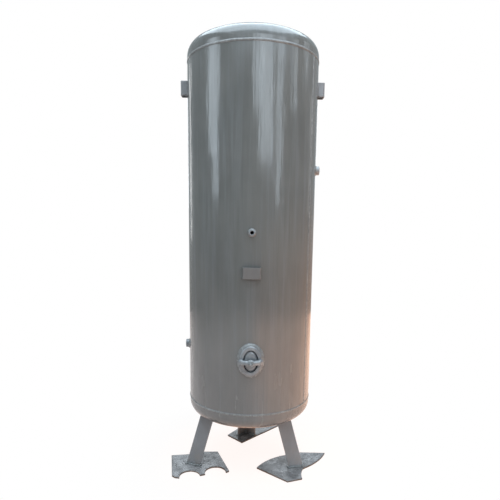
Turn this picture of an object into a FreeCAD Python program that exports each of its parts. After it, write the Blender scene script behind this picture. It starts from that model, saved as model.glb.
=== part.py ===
"""Vertical air receiver tank, about 500 litres, on three angle-iron legs.

Units are millimetres.  The origin is on the ground under the vessel's axis, +Z is up,
and the front of the tank, where the gauge port and the handhole are, faces -Y.
Azimuths are degrees round the vessel from the front (-Y) towards the right side (+X).
"""
import FreeCAD, Part
import math
import os

# ---------------------------------------------------------------- driving dimensions
SHELL_RADIUS = 300.0          # outside radius of the cylindrical shell
WALL = 5.0                    # plate thickness of the shell and both heads
BOTTOM_WELD_Z = 332.0         # height of the lower girth weld
TOP_WELD_Z = 1902.0           # height of the upper girth weld
CROWN_RADIUS = 600.0          # outside crown radius of the dished heads
KNUCKLE_RADIUS = 60.0         # outside knuckle radius of the dished heads
HEAD_FLANGE = 20.0            # straight flange of the dished heads

GROOVE_ROOT = 2.0             # width of a butt weld's groove at the inside face
GROOVE_MOUTH = 10.0           # width of a butt weld's groove at the outside face
WELD_CAP = 1.8                # height of a butt weld's cap over the plate
SEAM_AZIMUTH = 60.0           # place of the shell's longitudinal seam

# threaded half couplings: outside radius, bore radius, projection from the wall
GAUGE_COUPLING = (12.5, 7.48, 20.0)       # G 3/8
PIPE_COUPLING = (20.5, 15.15, 20.0)       # G 1
RELIEF_COUPLING = (16.0, 12.06, 24.0)     # G 3/4
DRAIN_COUPLING = (14.0, 9.32, 24.0)       # G 1/2
COUPLING_INSIDE = 9.0                     # length of a coupling inside the wall
COUPLING_CHAMFER = 1.0
GAUGE_Z = 1144.0
OUTLET_Z = 1435.0
OUTLET_AZIMUTH = 90.0
INLET_Z = 586.0
INLET_AZIMUTH = -90.0
FILLET_LEG = 6.0                          # leg of a coupling's fillet weld

WELD_SINK = 2.0               # depth that a bead's blank reaches into the parts it joins
WELD_TOE = 0.2                # height of a bead's blank over the shell at its toe

BRACKET_WIDTH = 77.0          # stand-off bracket for the rating plate
BRACKET_HEIGHT = 50.0
BRACKET_STANDOFF = 18.0       # front face's distance from the shell's front line
BRACKET_SHEET = 2.5
BRACKET_BEND = 4.0
BRACKET_Z = 973.5
BRACKET_WELD = (4.5, 12.0)    # leg and length of the bracket's fillet beads

HANDHOLE_Z = 588.0            # centre of the oval handhole
OPENING = (33.0, 50.0)        # half width and half height of the oval opening
RING_OUTER = (51.0, 68.0)
RING_FACE = 318.0             # distance of the ring's face from the vessel's axis
RING_DEPTH = 35.0
RING_EDGE_RADIUS = 5.0
RING_WELD_SPREAD = (16.0, 22.0)   # the ring weld's cone is this much larger at its base
RING_WELD_BASE = 286.0        # distances of the cone's base and end from the axis
RING_WELD_END = 311.0
COVER_FLANGE = (45.0, 62.0)
COVER_BOSS = (30.0, 47.0)
COVER_FLANGE_THICKNESS = 8.0
COVER_WALL = 8.0
COVER_FACE = 317.0            # distance of the boss's face from the vessel's axis
COVER_EDGE_RADIUS = 9.0
GASKET_THICKNESS = 4.0
STUD_RADIUS = 6.0             # M12 x 1.75
STUD_END = 372.0              # distance of the stud's tip from the vessel's axis
STUD_TAIL = 3.0               # length of the stud behind the boss's wall
STUD_CHAMFER = 1.0
STUD_HOLE_CLEARANCE = 0.25
STUD_WELD = (11.0, 7.5, 3.0)  # radius at the wall, radius at the tail, height
YOKE_HALF_LENGTH = 56.0
YOKE_KNOB_RADIUS = 13.0
YOKE_HUB_RADIUS = 15.0
YOKE_BAR_HEIGHT = 22.0
YOKE_FOOT_INSIDE = 34.0       # the feet stand on the ring from here outwards
YOKE_ARCH_INSIDE = 331.0      # underside of the arch at its middle
YOKE_ARCH_OUTSIDE = 351.0     # top of the arch at its middle, before spot-facing
YOKE_KNOB_OUTSIDE = 331.0
YOKE_SPOT_FACE = 349.0
WASHER = (12.0, 6.5, 2.5)     # outside radius, hole radius, thickness
NUT_ACROSS_FLATS = 19.0
NUT_HEIGHT = 10.8
NUT_FACE_RADIUS = 9.2         # flat part of the nut's front face
NUT_BORE_RADIUS = 6.05

LUG_WIDTH = 48.0              # lifting lugs, flat bar bent into a U
LUG_REACH = 331.0             # distance of the lugs' outer face from the vessel's axis
LUG_THICKNESS = 5.0
LUG_BEND = 7.0                # outside radius of the lugs' two bends
LUG_BOTTOM_Z = 1763.0
LUG_TOP_Z = 1825.0
LUG_AZIMUTH = {"left": -90.0, "right": 90.0}
LUG_WELD = 5.0                # leg of the lugs' fillet welds
LUG_WELD_INSET = 3.0          # the beads stop this far from the lugs' ends

LEG_LEG = 70.0                # angle iron of the legs
LEG_THICKNESS = 6.0
LEG_BLANK = (40.0, 290.0)     # a leg's blank below and above its foot, before trimming
# leg name: azimuth, distance of the heel from the axis at the foot plate, splay angle
LEGS = {
    "left": (-67.0, 335.0, 17.0),
    "right": (60.0, 306.0, 17.5),
    "rear": (-176.0, 224.0, 8.0),
}
FOOT_THICKNESS = 8.0
FOOT_REACH_X = 396.0          # the side foot plates reach this far to each side
FOOT_REACH_Y = 372.0          # the rear foot plate reaches this far back
LEG_WELD = 6.0                # size of the weld beads at a leg's ends

FRONT = FreeCAD.Vector(0, -1, 0)
UP = FreeCAD.Vector(0, 0, 1)
DOWN = FreeCAD.Vector(0, 0, -1)
LONG = 2500.0                 # longer than anything in the model
SIN45 = math.sqrt(0.5)


# ---------------------------------------------------------------- helpers
def vec(x, y, z):
    return FreeCAD.Vector(x, y, z)


def outward(azimuth):
    """Unit vector that points away from the vessel's axis at an azimuth."""
    angle = math.radians(azimuth)
    return vec(math.sin(angle), -math.cos(angle), 0)


def sideways(azimuth):
    """Unit vector along the shell's circumference, towards a larger azimuth."""
    angle = math.radians(azimuth)
    return vec(math.cos(angle), math.sin(angle), 0)


def save(node, shape):
    shape.exportStep("parts/" + node + ".step")


def rod(radius, start, direction, length):
    return Part.makeCylinder(radius, length, start, direction)


def polygon_face(points):
    return Part.Face(Part.makePolygon(points + [points[0]]))


def turned(edges):
    """Solid of revolution about Z of a closed profile in the XZ plane."""
    return Part.Face(Part.Wire(edges)).revolve(vec(0, 0, 0), UP, 360)


def oval_wire(half_sizes, distance):
    centre = vec(0, -distance, HANDHOLE_Z)
    top = centre + vec(0, 0, half_sizes[1])
    side = centre + vec(half_sizes[0], 0, 0)
    return Part.Wire(Part.Ellipse(top, side, centre).toShape())


def oval(half_sizes, near, far):
    """Elliptical prism along Y at the handhole, between two distances from the axis."""
    return Part.Face(oval_wire(half_sizes, near)).extrude(FRONT * (far - near))


def edges_at_distance(shape, distance, half_width):
    """Edges that lie in the plane y = -distance and reach out to a half width in X."""
    found = []
    for edge in shape.Edges:
        box = edge.BoundBox
        in_plane = abs(box.YMin + distance) < 0.01 and abs(box.YMax + distance) < 0.01
        if in_plane and abs(box.XMax - half_width) < 0.1:
            found.append(edge)
    return found


# ---------------------------------------------------------------- dished heads
def head_edges(weld_z, side, inset, end_z):
    """Half profile of a dished head's surface, from its rim to the apex.

    side is +1 for the top head and -1 for the bottom head, inset is the depth under the
    outside surface and end_z is the height of the profile's rim end.
    """
    crown = CROWN_RADIUS - inset
    knuckle = KNUCKLE_RADIUS - inset
    knuckle_centre_r = SHELL_RADIUS - KNUCKLE_RADIUS
    knuckle_centre_z = weld_z + side * HEAD_FLANGE
    spread = CROWN_RADIUS - KNUCKLE_RADIUS
    crown_centre_z = knuckle_centre_z - side * math.sqrt(spread ** 2 - knuckle_centre_r ** 2)
    tangent = math.asin(knuckle_centre_r / spread)

    def on_crown(angle):
        return vec(crown * math.sin(angle), 0, crown_centre_z + side * crown * math.cos(angle))

    def on_knuckle(angle):
        r = knuckle_centre_r + knuckle * math.sin(angle)
        return vec(r, 0, knuckle_centre_z + side * knuckle * math.cos(angle))

    rim = vec(SHELL_RADIUS - inset, 0, end_z)
    shoulder = on_knuckle(math.pi / 2)
    middle = on_knuckle((math.pi / 2 + tangent) / 2)
    joint = on_crown(tangent)
    return [
        Part.makeLine(rim, shoulder),
        Part.Arc(shoulder, middle, joint).toShape(),
        Part.Arc(joint, on_crown(tangent / 2), on_crown(0)).toShape(),
    ]


def end_point(edges):
    return edges[-1].Vertexes[-1].Point


def head_plate(weld_z, side):
    outer = head_edges(weld_z, side, 0.0, weld_z + side * GROOVE_MOUTH / 2)
    inner = head_edges(weld_z, side, WALL, weld_z + side * GROOVE_ROOT / 2)
    bevel = Part.makeLine(inner[0].Vertexes[0].Point, outer[0].Vertexes[0].Point)
    apex = Part.makeLine(end_point(outer), end_point(inner))
    return turned([bevel] + outer + [apex] + inner[::-1])


def head_body(weld_z, side, growth):
    """Solid under a head's outside surface, made thicker by a growth."""
    outer = head_edges(weld_z, side, -growth, weld_z)
    centre = vec(0, 0, weld_z)
    rim = Part.makeLine(centre, outer[0].Vertexes[0].Point)
    axis = Part.makeLine(end_point(outer), centre)
    return turned([rim] + outer + [axis])


def apex_z(weld_z, side):
    return end_point(head_edges(weld_z, side, 0.0, weld_z)).z


def crown_ball(weld_z, side):
    """Sphere that matches a head's outside surface round its apex."""
    centre = vec(0, 0, apex_z(weld_z, side) - side * CROWN_RADIUS)
    return Part.makeSphere(CROWN_RADIUS, centre, vec(1, 0, 0))


# ---------------------------------------------------------------- butt welds
def girth_weld(weld_z):
    """V-shaped butt weld ring with a rounded cap."""
    inner = SHELL_RADIUS - WALL
    a = vec(inner, 0, weld_z - GROOVE_ROOT / 2)
    b = vec(SHELL_RADIUS, 0, weld_z - GROOVE_MOUTH / 2)
    c = vec(SHELL_RADIUS, 0, weld_z + GROOVE_MOUTH / 2)
    d = vec(inner, 0, weld_z + GROOVE_ROOT / 2)
    cap = Part.Arc(b, vec(SHELL_RADIUS + WELD_CAP, 0, weld_z), c).toShape()
    return turned([Part.makeLine(a, b), cap, Part.makeLine(c, d), Part.makeLine(d, a)])


def shell_plate():
    """Rolled shell plate, open along the longitudinal seam's groove, with square ends."""
    out = outward(SEAM_AZIMUTH)
    across = sideways(SEAM_AZIMUTH)

    def ends(radius, gap):
        depth = math.sqrt(radius ** 2 - (gap / 2) ** 2)
        return out * depth + across * (gap / 2), out * depth - across * (gap / 2)

    outer_start, outer_end = ends(SHELL_RADIUS, GROOVE_MOUTH)
    inner_start, inner_end = ends(SHELL_RADIUS - WALL, GROOVE_ROOT)
    section = Part.Wire([
        Part.Arc(outer_start, out * -SHELL_RADIUS, outer_end).toShape(),
        Part.makeLine(outer_end, inner_end),
        Part.Arc(inner_end, out * (WALL - SHELL_RADIUS), inner_start).toShape(),
        Part.makeLine(inner_start, outer_start),
    ])
    plate = Part.Face(section)
    plate.translate(UP * (BOTTOM_WELD_Z + GROOVE_ROOT / 2))
    return plate.extrude(UP * (TOP_WELD_Z - BOTTOM_WELD_Z - GROOVE_ROOT))


def seam_bar():
    """Longitudinal weld, from the middle of one girth weld to the middle of the other."""
    out = outward(SEAM_AZIMUTH)
    across = sideways(SEAM_AZIMUTH)
    outer_depth = math.sqrt(SHELL_RADIUS ** 2 - (GROOVE_MOUTH / 2) ** 2)
    inner_depth = math.sqrt((SHELL_RADIUS - WALL) ** 2 - (GROOVE_ROOT / 2) ** 2)
    a = out * inner_depth - across * (GROOVE_ROOT / 2)
    b = out * outer_depth - across * (GROOVE_MOUTH / 2)
    c = out * outer_depth + across * (GROOVE_MOUTH / 2)
    d = out * inner_depth + across * (GROOVE_ROOT / 2)
    cap = Part.Arc(b, out * (SHELL_RADIUS + WELD_CAP), c).toShape()
    root = Part.Arc(d, out * (SHELL_RADIUS - WALL), a).toShape()
    section = Part.Wire([Part.makeLine(a, b), cap, Part.makeLine(c, d), root])
    face = Part.Face(section)
    face.translate(UP * BOTTOM_WELD_Z)
    return face.extrude(UP * (TOP_WELD_Z - BOTTOM_WELD_Z))


# ---------------------------------------------------------------- couplings
def coupling(size, wall_point, direction):
    """Half coupling through a wall, and the solid that its hole takes out of the wall."""
    outside, bore, projection = size
    start = wall_point - direction * (WALL + COUPLING_INSIDE)
    length = WALL + COUPLING_INSIDE + projection
    body = rod(outside, start, direction, length)
    mouth = [e for e in body.Edges if abs((e.CenterOfMass - start).dot(direction) - length) < 0.01]
    body = body.makeChamfer(COUPLING_CHAMFER, mouth)
    body = body.cut(rod(bore, start, direction, length))
    countersink = Part.makeCone(bore, bore + COUPLING_CHAMFER, COUPLING_CHAMFER,
                                start + direction * (length - COUPLING_CHAMFER), direction)
    return body.cut(countersink), rod(outside, start, direction, length)


def coupling_weld(size, wall_point, direction, wall_solid):
    """Fillet weld round a coupling, trimmed to the wall it stands on."""
    outside = size[0]
    below = FILLET_LEG
    cone = Part.makeCone(outside + FILLET_LEG + below, outside, FILLET_LEG + below,
                         wall_point - direction * below, direction)
    return cone.cut(wall_solid).cut(rod(outside, wall_point - direction * LONG, direction, 2 * LONG))


# ---------------------------------------------------------------- angle iron
def angle_section(heel, to_heel, across, leg, thickness):
    """Face of an angle iron; to_heel and across are the section's unit axes."""
    one = (across - to_heel) * SIN45
    other = (across * -1 - to_heel) * SIN45
    inner_heel = heel - to_heel * (thickness / SIN45)
    return polygon_face([
        heel,
        heel + one * leg,
        heel + one * leg + other * thickness,
        inner_heel,
        heel + other * leg + one * thickness,
        heel + other * leg,
    ])


def leg_prism(azimuth, heel_distance, splay, growth):
    """Angle iron along a leg's slope, grown on all sides, long enough to be trimmed."""
    slope = math.radians(splay)
    out = outward(azimuth)
    along = UP * math.cos(slope) - out * math.sin(slope)
    to_heel = out * math.cos(slope) + UP * math.sin(slope)
    below, above = LEG_BLANK
    foot = out * heel_distance + UP * FOOT_THICKNESS
    heel = foot + to_heel * (growth / SIN45) - along * below
    leg = LEG_LEG + 2 * growth
    face = angle_section(heel, to_heel, sideways(azimuth), leg, LEG_THICKNESS + 2 * growth)
    return face.extrude(along * (below + above))


def slab(low_z, high_z):
    return Part.makeBox(LONG, LONG, high_z - low_z, vec(-LONG / 2, -LONG / 2, low_z))


# ---------------------------------------------------------------- foot plates
def flame_cut_plate(start, steps):
    """Plate whose outline runs through steps: (end) is a line, (via, end) is an arc."""
    edges = []
    here = vec(start[0], start[1], 0)
    for step in steps:
        end = vec(step[-1][0], step[-1][1], 0)
        if len(step) == 1:
            edges.append(Part.makeLine(here, end))
        else:
            via = vec(step[0][0], step[0][1], 0)
            edges.append(Part.Arc(here, via, end).toShape())
        here = end
    return Part.Face(Part.Wire(edges)).extrude(UP * FOOT_THICKNESS)


def foot_plates():
    """Three off-cuts of plate with concave flame-cut bites, one under each leg."""
    left = flame_cut_plate((-FOOT_REACH_X, -52), [
        ((-318, -42),),
        ((-233, -13),),
        ((-162, -11),),
        ((-95, -198),),
        ((-112, -209),),
        ((-165, -160), (-208, -227)),
        ((-233, -236),),
        ((-278, -197), (-326, -258)),
        ((-348, -254),),
        ((-364, -241),),
        ((-FOOT_REACH_X, -52),),
    ])
    right = flame_cut_plate((37, -167), [
        ((105, -88), (191, -43)),
        ((267, -15),),
        ((FOOT_REACH_X, -20),),
        ((338, -108), (276, -162)),
        ((262, -174),),
        ((250, -216), (249, -261)),
        ((177, -286),),
        ((37, -167),),
    ])
    rear = flame_cut_plate((-37, 91), [
        ((190, 317),),
        ((140, FOOT_REACH_Y),),
        ((-40, FOOT_REACH_Y),),
        ((-28, 315), (-62, 258)),
        ((-118, 177),),
        ((-37, 91),),
    ])
    return {"left": left, "right": right, "rear": rear}


# ---------------------------------------------------------------- bent-plate channels
def channel(width, low_z, high_z, reach, thickness, bend, shell_body):
    """Plate bent into a U whose two flanges stand on the front of the shell."""
    depth = reach - SHELL_RADIUS * math.cos(math.asin(width / 2 / SHELL_RADIUS)) + WELD_SINK
    low = vec(-width / 2, -reach, low_z)
    block = Part.makeBox(width, depth, high_z - low_z, low)
    bends = [e for e in block.Edges if abs(e.BoundBox.YMax + reach) < 0.01 and e.BoundBox.ZLength > 1]
    block = block.makeFillet(bend, bends)
    inner_low = low + vec(thickness, thickness, -1)
    hollow = Part.makeBox(width - 2 * thickness, depth, high_z - low_z + 2, inner_low)
    return block.cut(hollow).cut(shell_body)


def channel_welds(width, spans, leg, channel_solid, shell_body):
    """Fillet beads outside a channel's two flanges, over spans of height."""
    half = width / 2
    root_y = math.sqrt(SHELL_RADIUS ** 2 - half ** 2)
    toe_y = math.sqrt(SHELL_RADIUS ** 2 - (half + leg) ** 2)
    points = [(half - WELD_SINK / 2, root_y - WELD_SINK), (half - WELD_SINK / 2, root_y + leg),
              (half + leg, toe_y + WELD_TOE), (half + leg, toe_y - WELD_SINK)]
    beads = []
    for side in (-1, 1):
        for low_z, high_z in spans:
            blank = polygon_face([vec(side * x, -y, low_z) for x, y in points])
            beads.append(blank.extrude(UP * (high_z - low_z)).cut(shell_body).cut(channel_solid))
    return Part.makeCompound([solid for bead in beads for solid in bead.Solids])


def bracket(shell_body):
    """Rating-plate bracket with a short bead at the top and bottom of each flange."""
    low_z = BRACKET_Z - BRACKET_HEIGHT / 2
    high_z = BRACKET_Z + BRACKET_HEIGHT / 2
    reach = SHELL_RADIUS + BRACKET_STANDOFF
    solid = channel(BRACKET_WIDTH, low_z, high_z, reach, BRACKET_SHEET, BRACKET_BEND, shell_body)
    leg, length = BRACKET_WELD
    spans = ((low_z, low_z + length), (high_z - length, high_z))
    return solid, channel_welds(BRACKET_WIDTH, spans, leg, solid, shell_body)


def lug(azimuth, shell_body):
    """Lifting lug with one long bead beside each flange, turned to its azimuth."""
    solid = channel(LUG_WIDTH, LUG_BOTTOM_Z, LUG_TOP_Z, LUG_REACH, LUG_THICKNESS, LUG_BEND, shell_body)
    span = (LUG_BOTTOM_Z + LUG_WELD_INSET, LUG_TOP_Z - LUG_WELD_INSET)
    welds = channel_welds(LUG_WIDTH, (span,), LUG_WELD, solid, shell_body)
    for shape in (solid, welds):
        shape.rotate(vec(0, 0, 0), UP, azimuth)
    return solid, welds


# ---------------------------------------------------------------- handhole
def handhole_ring():
    ring = oval(RING_OUTER, RING_FACE - RING_DEPTH, RING_FACE)
    ring = ring.makeFillet(RING_EDGE_RADIUS, edges_at_distance(ring, RING_FACE, RING_OUTER[0]))
    return ring.cut(oval(OPENING, RING_FACE - RING_DEPTH - 1, RING_FACE + 1))


def handhole_ring_weld(shell_body):
    base = (RING_OUTER[0] + RING_WELD_SPREAD[0], RING_OUTER[1] + RING_WELD_SPREAD[1])
    ends = [oval_wire(base, RING_WELD_BASE), oval_wire(RING_OUTER, RING_WELD_END)]
    skirt = Part.makeLoft(ends, True)
    return skirt.cut(shell_body).cut(oval(RING_OUTER, RING_WELD_BASE - 1, RING_WELD_END + 1))


def handhole_cover():
    seat = RING_FACE - RING_DEPTH - GASKET_THICKNESS
    back = seat - COVER_FLANGE_THICKNESS
    boss = oval(COVER_BOSS, back, COVER_FACE)
    boss = boss.makeFillet(COVER_EDGE_RADIUS, edges_at_distance(boss, COVER_FACE, COVER_BOSS[0]))
    hollow_size = (COVER_BOSS[0] - COVER_WALL, COVER_BOSS[1] - COVER_WALL)
    hollow_face = COVER_FACE - COVER_WALL
    hollow = oval(hollow_size, back - 1, hollow_face)
    hollow_edges = edges_at_distance(hollow, hollow_face, hollow_size[0])
    hollow = hollow.makeFillet(COVER_EDGE_RADIUS - COVER_WALL, hollow_edges)
    cover = oval(COVER_FLANGE, back, seat).fuse(boss).cut(hollow).removeSplitter()
    hole = rod(STUD_RADIUS + STUD_HOLE_CLEARANCE, vec(0, 0, HANDHOLE_Z), FRONT, LONG)
    return cover.cut(hole)


def handhole_gasket():
    seat = RING_FACE - RING_DEPTH
    outer = (COVER_FLANGE[0] - 1, COVER_FLANGE[1] - 1)
    inner = (OPENING[0] + 1, OPENING[1] + 1)
    ring = oval(outer, seat - GASKET_THICKNESS, seat)
    return ring.cut(oval(inner, seat - GASKET_THICKNESS - 1, seat + 1))


def handhole_stud():
    start = COVER_FACE - COVER_WALL - STUD_TAIL
    stud = rod(STUD_RADIUS, vec(0, -start, HANDHOLE_Z), FRONT, STUD_END - start)
    tip = [e for e in stud.Edges if abs(e.CenterOfMass.y + STUD_END) < 0.01]
    return stud.makeChamfer(STUD_CHAMFER, tip)


def handhole_stud_weld():
    """Weld that fixes the stud to the inside of the cover's boss."""
    wide, narrow, height = STUD_WELD
    wall = vec(0, COVER_WALL - COVER_FACE, HANDHOLE_Z)
    cone = Part.makeCone(wide, narrow, height, wall, FRONT * -1)
    return cone.cut(rod(STUD_RADIUS, vec(0, 0, HANDHOLE_Z), FRONT, LONG))


def handhole_yoke():
    """Forged bridge: an arch with a knob at each end and a hub round the stud."""
    half = YOKE_HALF_LENGTH
    foot = YOKE_FOOT_INSIDE
    height = 2 * YOKE_HUB_RADIUS
    z = HANDHOLE_Z - height / 2
    left_foot = vec(-foot, -RING_FACE, z)
    right_foot = vec(foot, -RING_FACE, z)
    left_end = vec(-half, -RING_FACE, z)
    right_end = vec(half, -RING_FACE, z)
    left_top = vec(-half, -YOKE_KNOB_OUTSIDE, z)
    right_top = vec(half, -YOKE_KNOB_OUTSIDE, z)
    arch = Part.Wire([
        Part.Arc(left_foot, vec(0, -YOKE_ARCH_INSIDE, z), right_foot).toShape(),
        Part.makeLine(right_foot, right_end),
        Part.makeLine(right_end, right_top),
        Part.Arc(right_top, vec(0, -YOKE_ARCH_OUTSIDE, z), left_top).toShape(),
        Part.makeLine(left_top, left_end),
        Part.makeLine(left_end, left_foot),
    ])
    arch = Part.Face(arch).extrude(UP * height)
    knob_x = half - YOKE_KNOB_RADIUS
    bar_low = vec(-knob_x, -LONG, HANDHOLE_Z - YOKE_BAR_HEIGHT / 2)
    front_view = Part.makeBox(2 * knob_x, LONG, YOKE_BAR_HEIGHT, bar_low)
    for x, radius in ((-knob_x, YOKE_KNOB_RADIUS), (0, YOKE_HUB_RADIUS), (knob_x, YOKE_KNOB_RADIUS)):
        front_view = front_view.fuse(rod(radius, vec(x, 0, HANDHOLE_Z), FRONT, LONG))
    yoke = arch.common(front_view)
    yoke = yoke.cut(rod(STUD_RADIUS + 1, vec(0, 0, HANDHOLE_Z), FRONT, LONG))
    spot_face = rod(WASHER[0] + 1, vec(0, -YOKE_SPOT_FACE, HANDHOLE_Z), FRONT, LONG)
    return yoke.cut(spot_face).removeSplitter()


def handhole_washer():
    outside, hole, thickness = WASHER
    base = vec(0, -YOKE_SPOT_FACE, HANDHOLE_Z)
    return rod(outside, base, FRONT, thickness).cut(rod(hole, base, FRONT, thickness))


def handhole_nut():
    """Hexagon nut with two flats upright and its corners turned off at the front."""
    base = vec(0, -YOKE_SPOT_FACE - WASHER[2], HANDHOLE_Z)
    corner = NUT_ACROSS_FLATS / math.sqrt(3)
    points = []
    for index in range(6):
        angle = math.radians(60 * index + 30)
        points.append(base + vec(corner * math.cos(angle), 0, corner * math.sin(angle)))
    nut = polygon_face(points).extrude(FRONT * NUT_HEIGHT)
    back_radius = NUT_FACE_RADIUS + NUT_HEIGHT * math.sqrt(3)
    nut = nut.common(Part.makeCone(back_radius, NUT_FACE_RADIUS, NUT_HEIGHT, base, FRONT))
    return nut.cut(rod(NUT_BORE_RADIUS, base, FRONT, NUT_HEIGHT))


# ---------------------------------------------------------------- the whole tank
def build_vessel():
    shell_body = rod(SHELL_RADIUS, vec(0, 0, 0), UP, LONG)
    bottom_weld = girth_weld(BOTTOM_WELD_Z)
    top_weld = girth_weld(TOP_WELD_Z)
    seam = seam_bar()
    shell = shell_plate().cut(bottom_weld).cut(top_weld)
    save("bottom_girth_weld", bottom_weld)
    save("top_girth_weld", top_weld)
    save("long_seam_weld", seam.cut(bottom_weld).cut(top_weld))

    side_ports = {
        "gauge": (GAUGE_COUPLING, GAUGE_Z, 0.0),
        "outlet": (PIPE_COUPLING, OUTLET_Z, OUTLET_AZIMUTH),
        "inlet": (PIPE_COUPLING, INLET_Z, INLET_AZIMUTH),
    }
    for name, (size, z, azimuth) in side_ports.items():
        direction = outward(azimuth)
        wall_point = direction * SHELL_RADIUS + UP * z
        body, hole = coupling(size, wall_point, direction)
        shell = shell.cut(hole)
        save(name + "_coupling", body)
        save(name + "_coupling_weld", coupling_weld(size, wall_point, direction, shell_body))

    heads = {
        "top": (TOP_WELD_Z, 1, UP, "relief", RELIEF_COUPLING),
        "bottom": (BOTTOM_WELD_Z, -1, DOWN, "drain", DRAIN_COUPLING),
    }
    for name, (weld_z, side, direction, port, size) in heads.items():
        wall_point = vec(0, 0, apex_z(weld_z, side))
        body, hole = coupling(size, wall_point, direction)
        save(name + "_head", head_plate(weld_z, side).cut(hole))
        save(port + "_coupling", body)
        bead = coupling_weld(size, wall_point, direction, crown_ball(weld_z, side))
        save(port + "_coupling_weld", bead)

    shell = shell.cut(oval(RING_OUTER, RING_FACE - RING_DEPTH, RING_FACE))
    save("shell", shell)
    save("handhole_ring", handhole_ring())
    save("handhole_ring_weld", handhole_ring_weld(shell_body))

    solid, welds = bracket(shell_body)
    save("nameplate_bracket", solid)
    save("nameplate_bracket_welds", welds)

    for name, azimuth in LUG_AZIMUTH.items():
        solid, welds = lug(azimuth, shell_body)
        save("lifting_lug_" + name, solid)
        save("lifting_lug_" + name + "_welds", welds)


def build_legs():
    head = head_body(BOTTOM_WELD_Z, -1, 0.0)
    head_skin = head_body(BOTTOM_WELD_Z, -1, LEG_WELD).cut(head)
    under_plate = slab(-LONG, FOOT_THICKNESS)
    bead_layer = slab(FOOT_THICKNESS, FOOT_THICKNESS + LEG_WELD)
    plates = foot_plates()
    for name, (azimuth, heel_distance, splay) in LEGS.items():
        leg = leg_prism(azimuth, heel_distance, splay, 0.0).cut(head).cut(under_plate)
        grown = leg_prism(azimuth, heel_distance, splay, LEG_WELD)
        save("leg_" + name, leg)
        save("leg_" + name + "_head_weld", grown.common(head_skin).cut(leg))
        save("leg_" + name + "_foot_weld", grown.common(bead_layer).cut(leg))
        save("foot_plate_" + name, plates[name])


def build_handhole_closure():
    save("handhole_cover", handhole_cover())
    save("handhole_gasket", handhole_gasket())
    save("handhole_stud", handhole_stud())
    save("handhole_stud_weld", handhole_stud_weld())
    save("handhole_yoke", handhole_yoke())
    save("handhole_washer", handhole_washer())
    save("handhole_nut", handhole_nut())


os.makedirs("parts", exist_ok=True)
build_vessel()
build_legs()
build_handhole_closure()
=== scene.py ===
"""The air receiver tank's looks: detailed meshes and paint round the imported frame.

Metres, in the frame's own axes: +Z is up and the front of the tank faces -Y.  Azimuths
run from the front towards +X, as in the part's source.
"""
import math
import random

import bmesh
import bpy
from mathutils import Matrix, Vector, noise
from mathutils.bvhtree import BVHTree


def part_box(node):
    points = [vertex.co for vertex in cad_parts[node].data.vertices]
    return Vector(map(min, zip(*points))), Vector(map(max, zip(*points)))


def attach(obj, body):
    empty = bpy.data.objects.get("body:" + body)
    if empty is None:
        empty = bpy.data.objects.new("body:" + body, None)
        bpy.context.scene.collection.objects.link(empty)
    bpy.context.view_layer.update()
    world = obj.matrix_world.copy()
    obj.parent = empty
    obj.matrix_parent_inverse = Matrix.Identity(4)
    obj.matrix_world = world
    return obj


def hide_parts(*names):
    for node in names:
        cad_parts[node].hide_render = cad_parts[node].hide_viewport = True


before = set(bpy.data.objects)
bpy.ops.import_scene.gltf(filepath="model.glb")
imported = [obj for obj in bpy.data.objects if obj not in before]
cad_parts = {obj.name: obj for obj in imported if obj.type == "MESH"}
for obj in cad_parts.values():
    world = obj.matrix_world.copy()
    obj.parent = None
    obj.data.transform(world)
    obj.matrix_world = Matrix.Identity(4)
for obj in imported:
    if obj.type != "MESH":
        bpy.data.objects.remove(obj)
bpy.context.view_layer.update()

MM = 0.001
UP = Vector((0, 0, 1))
TURN = 2 * math.pi


# ---------------------------------------------------------------- places from the frame
def lowest(node):
    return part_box(node)[0]


def highest(node):
    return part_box(node)[1]


def middle(node):
    return (lowest(node) + highest(node)) / 2


def outward(azimuth):
    return Vector((math.sin(azimuth), -math.cos(azimuth), 0))


def azimuth_of(point):
    return math.atan2(point.x, -point.y)


SHELL_RADIUS = round(highest("shell").x, 4)
BOTTOM_WELD_Z = middle("bottom_girth_weld").z
TOP_WELD_Z = middle("top_girth_weld").z
SEAM_AZIMUTH = azimuth_of(middle("long_seam_weld"))
WELD_CAP = highest("top_girth_weld").x - SHELL_RADIUS
WELD_WIDTH = highest("top_girth_weld").z - lowest("top_girth_weld").z
PLATE_EDGE = WELD_WIDTH * 0.4      # from a butt weld's middle to the plates' edges
OVERLAP = 0.2 * MM                 # a fitting's hole is this much smaller than the fitting
# these are the part's own sizes inside its boxes, so the boxes don't tell them
WALL = 5 * MM
CROWN_RADIUS = 600 * MM
KNUCKLE_RADIUS = 60 * MM
HEAD_FLANGE = 20 * MM
GROOVE_ROOT = 2 * MM
LEG_SIZE, LEG_THICKNESS = 70 * MM, 6 * MM
LUG_THICKNESS, LUG_BEND = 5 * MM, 7 * MM
BRACKET_SHEET, BRACKET_BEND = 2.5 * MM, 4 * MM
PORT_WELD_LEG, RING_WELD_LEG = 6 * MM, 10.5 * MM
STUD_PITCH, STUD_THREAD_DEPTH = 1.75 * MM, 1.0 * MM
NUT_BORE, WASHER_HOLE = 6.05 * MM, 6.5 * MM

HANDHOLE = middle("handhole_ring")
RING_OUTER = (highest("handhole_ring").x, highest("handhole_ring").z - HANDHOLE.z)
OPENING = (33 * MM, 50 * MM)
COVER_BOSS = (30.8 * MM, 47.8 * MM)    # 0.8 mm fuller than the solid's boss
COVER_FLANGE = (highest("handhole_cover").x, highest("handhole_cover").z - HANDHOLE.z)
RING_FACE = -lowest("handhole_ring").y
RING_BACK = -highest("handhole_ring").y
GASKET_BACK = -highest("handhole_gasket").y
COVER_WALL = 8 * MM
COVER_STUD_HOLE = 6.25 * MM


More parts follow.
